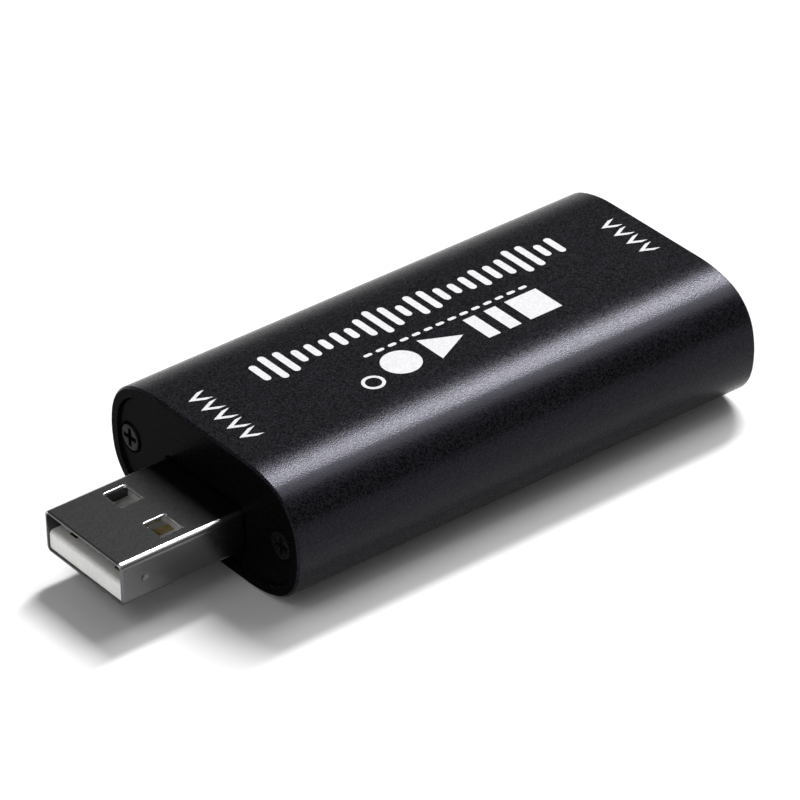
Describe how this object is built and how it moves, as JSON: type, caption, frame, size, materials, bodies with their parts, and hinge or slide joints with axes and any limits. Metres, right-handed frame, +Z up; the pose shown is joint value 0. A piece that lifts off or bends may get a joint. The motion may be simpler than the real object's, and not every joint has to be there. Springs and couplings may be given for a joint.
{
  "type": "video capture box",
  "caption": "Pocket video capture box: a black metal sleeve between two end plates, with a data plug at one end and a video input socket at the other.",
  "frame": {"origin": "under the middle of the whole box, plug included, on the flat face that it rests on", "axes": "+X along the length towards the input socket, so the output plug points along -X; +Z up, square to the flat faces; +Y across the width"},
  "size_m": [0.068, 0.029, 0.0135],
  "materials": {
    "black_anodised_aluminium": "fine bead-blasted, black anodised",
    "black_plate": "smooth semi-gloss black",
    "blackened_steel": "blackened, satin",
    "plated_steel": "nickel plated, polished",
    "white_plastic": "satin white",
    "black_plastic": "satin black",
    "gold_plate": "gold plated",
    "board_laminate": "green solder mask",
    "chip_plastic": "moulded, matt",
    "tinned_metal": "tinned, satin",
    "ferrite": "sintered, matt",
    "ceramic": "fired, matt",
    "capacitor_ceramic": "fired, satin"
  },
  "bodies": {
    "root": {"housing_sleeve": "black_anodised_aluminium", "output_end_plate": "black_plate", "input_end_plate": "black_plate", "output_plate_screws": "blackened_steel", "input_plate_screws": "blackened_steel", "output_plug_shell": "plated_steel", "output_plug_insulator": "white_plastic", "output_plug_contacts": "gold_plate", "input_socket_shell": "plated_steel", "input_socket_insulator": "black_plastic", "input_socket_upper_contacts": "gold_plate", "input_socket_lower_contacts": "gold_plate", "circuit_board": "board_laminate", "capture_chip_body": "chip_plastic", "capture_chip_lands": "tinned_metal", "memory_chip_body": "chip_plastic", "memory_chip_leads": "tinned_metal", "voltage_regulator_bodies": "chip_plastic", "voltage_regulator_leads": "tinned_metal", "power_inductor_core": "ferrite", "power_inductor_terminals": "tinned_metal", "clock_crystal_base": "ceramic", "clock_crystal_lid": "plated_steel", "surge_array_bodies": "chip_plastic", "surge_array_lands": "tinned_metal", "ceramic_capacitor_bodies": "capacitor_ceramic", "ceramic_capacitor_ends": "tinned_metal", "resistor_bodies": "chip_plastic", "resistor_ends": "tinned_metal"}
  },
  "joints": []
}
